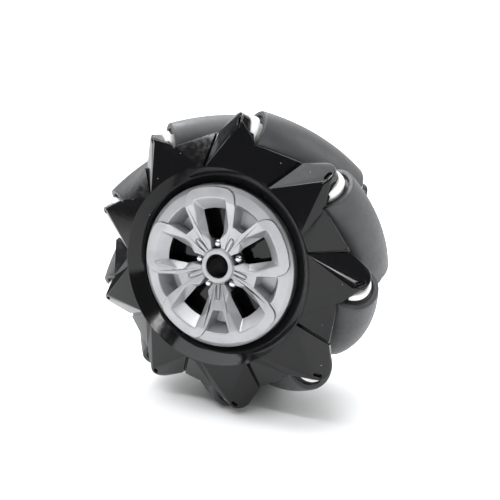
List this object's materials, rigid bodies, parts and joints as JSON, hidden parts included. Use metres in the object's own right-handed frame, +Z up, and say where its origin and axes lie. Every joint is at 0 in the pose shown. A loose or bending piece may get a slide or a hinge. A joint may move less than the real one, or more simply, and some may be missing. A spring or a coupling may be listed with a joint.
{
  "type": "mecanum wheel",
  "caption": "Mecanum wheel: free-turning rubber rollers on 45 degree axles between two clawed plastic flanges, with a spoked silver rim cover and a shaft coupling at the back.",
  "frame": {"origin": "the wheel's centre: on its axis, midway between the two flanges' faces", "axes": "Y is the wheel's axis and -Y its decorated front; +Z is up, towards the roller nearest the top; +X is to the right, seen from the front"},
  "size_m": [0.0969, 0.0456, 0.0968],
  "materials": {
    "gloss_black": "gloss black moulded plastic",
    "rubber": "matt dark grey moulded rubber",
    "core_plastic": "matt black moulded plastic",
    "nylon": "white moulded nylon",
    "silver": "satin silver painted plastic",
    "steel": "bright steel"
  },
  "bodies": {
    "wheel": {"front_flange": "gloss_black", "rear_flange": "gloss_black", "rim_cover": "silver", "hub_core": "core_plastic", "shaft_coupling": "steel", "coupling_set_screw": "steel", "lug_bolt_1": "steel", "lug_bolt_2": "steel", "lug_bolt_3": "steel", "lug_bolt_4": "steel", "lug_bolt_5": "steel", "assembly_screw_1": "steel", "assembly_screw_2": "steel", "assembly_screw_3": "steel", "axle_1": "steel", "axle_2": "steel", "axle_3": "steel", "axle_4": "steel", "axle_5": "steel", "axle_6": "steel", "axle_7": "steel", "axle_8": "steel", "axle_9": "steel"},
    "roller_1": {"roller_1_tyre": "rubber", "roller_1_core": "core_plastic", "roller_1_front_bush": "nylon", "roller_1_rear_bush": "nylon"},
    "roller_2": {"roller_2_tyre": "rubber", "roller_2_core": "core_plastic", "roller_2_front_bush": "nylon", "roller_2_rear_bush": "nylon"},
    "roller_3": {"roller_3_tyre": "rubber", "roller_3_core": "core_plastic", "roller_3_front_bush": "nylon", "roller_3_rear_bush": "nylon"},
    "roller_4": {"roller_4_tyre": "rubber", "roller_4_core": "core_plastic", "roller_4_front_bush": "nylon", "roller_4_rear_bush": "nylon"},
    "roller_5": {"roller_5_tyre": "rubber", "roller_5_core": "core_plastic", "roller_5_front_bush": "nylon", "roller_5_rear_bush": "nylon"},
    "roller_6": {"roller_6_tyre": "rubber", "roller_6_core": "core_plastic", "roller_6_front_bush": "nylon", "roller_6_rear_bush": "nylon"},
    "roller_7": {"roller_7_tyre": "rubber", "roller_7_core": "core_plastic", "roller_7_front_bush": "nylon", "roller_7_rear_bush": "nylon"},
    "roller_8": {"roller_8_tyre": "rubber", "roller_8_core": "core_plastic", "roller_8_front_bush": "nylon", "roller_8_rear_bush": "nylon"},
    "roller_9": {"roller_9_tyre": "rubber", "roller_9_core": "core_plastic", "roller_9_front_bush": "nylon", "roller_9_rear_bush": "nylon"}
  },
  "joints": [
    {"name": "roller_1_spin", "type": "hinge", "parent": "wheel", "child": "roller_1", "pos_m": [-0.0039, 0, 0.0384], "axis": [0.7035, 0.7071, 0.0715], "continuous": true},
    {"name": "roller_2_spin", "type": "hinge", "parent": "wheel", "child": "roller_2", "pos_m": [0.0217, 0, 0.03193], "axis": [0.5848, 0.7071, -0.3975], "continuous": true},
    {"name": "roller_3_spin", "type": "hinge", "parent": "wheel", "child": "roller_3", "pos_m": [0.03714, 0, 0.01051], "axis": [0.1925, 0.7071, -0.6804], "continuous": true},
    {"name": "roller_4_spin", "type": "hinge", "parent": "wheel", "child": "roller_4", "pos_m": [0.03521, 0, -0.01582], "axis": [-0.2899, 0.7071, -0.645], "continuous": true},
    {"name": "roller_5_spin", "type": "hinge", "parent": "wheel", "child": "roller_5", "pos_m": [0.0168, 0, -0.03475], "axis": [-0.6366, 0.7071, -0.3078], "continuous": true},
    {"name": "roller_6_spin", "type": "hinge", "parent": "wheel", "child": "roller_6", "pos_m": [-0.00947, 0, -0.03742], "axis": [-0.6855, 0.7071, 0.1735], "continuous": true},
    {"name": "roller_7_spin", "type": "hinge", "parent": "wheel", "child": "roller_7", "pos_m": [-0.03131, 0, -0.02258], "axis": [-0.4136, 0.7071, 0.5735], "continuous": true},
    {"name": "roller_8_spin", "type": "hinge", "parent": "wheel", "child": "roller_8", "pos_m": [-0.0385, 0, 0.00283], "axis": [0.0518, 0.7071, 0.7052], "continuous": true},
    {"name": "roller_9_spin", "type": "hinge", "parent": "wheel", "child": "roller_9", "pos_m": [-0.02767, 0, 0.02691], "axis": [0.493, 0.7071, 0.5069], "continuous": true}
  ]
}
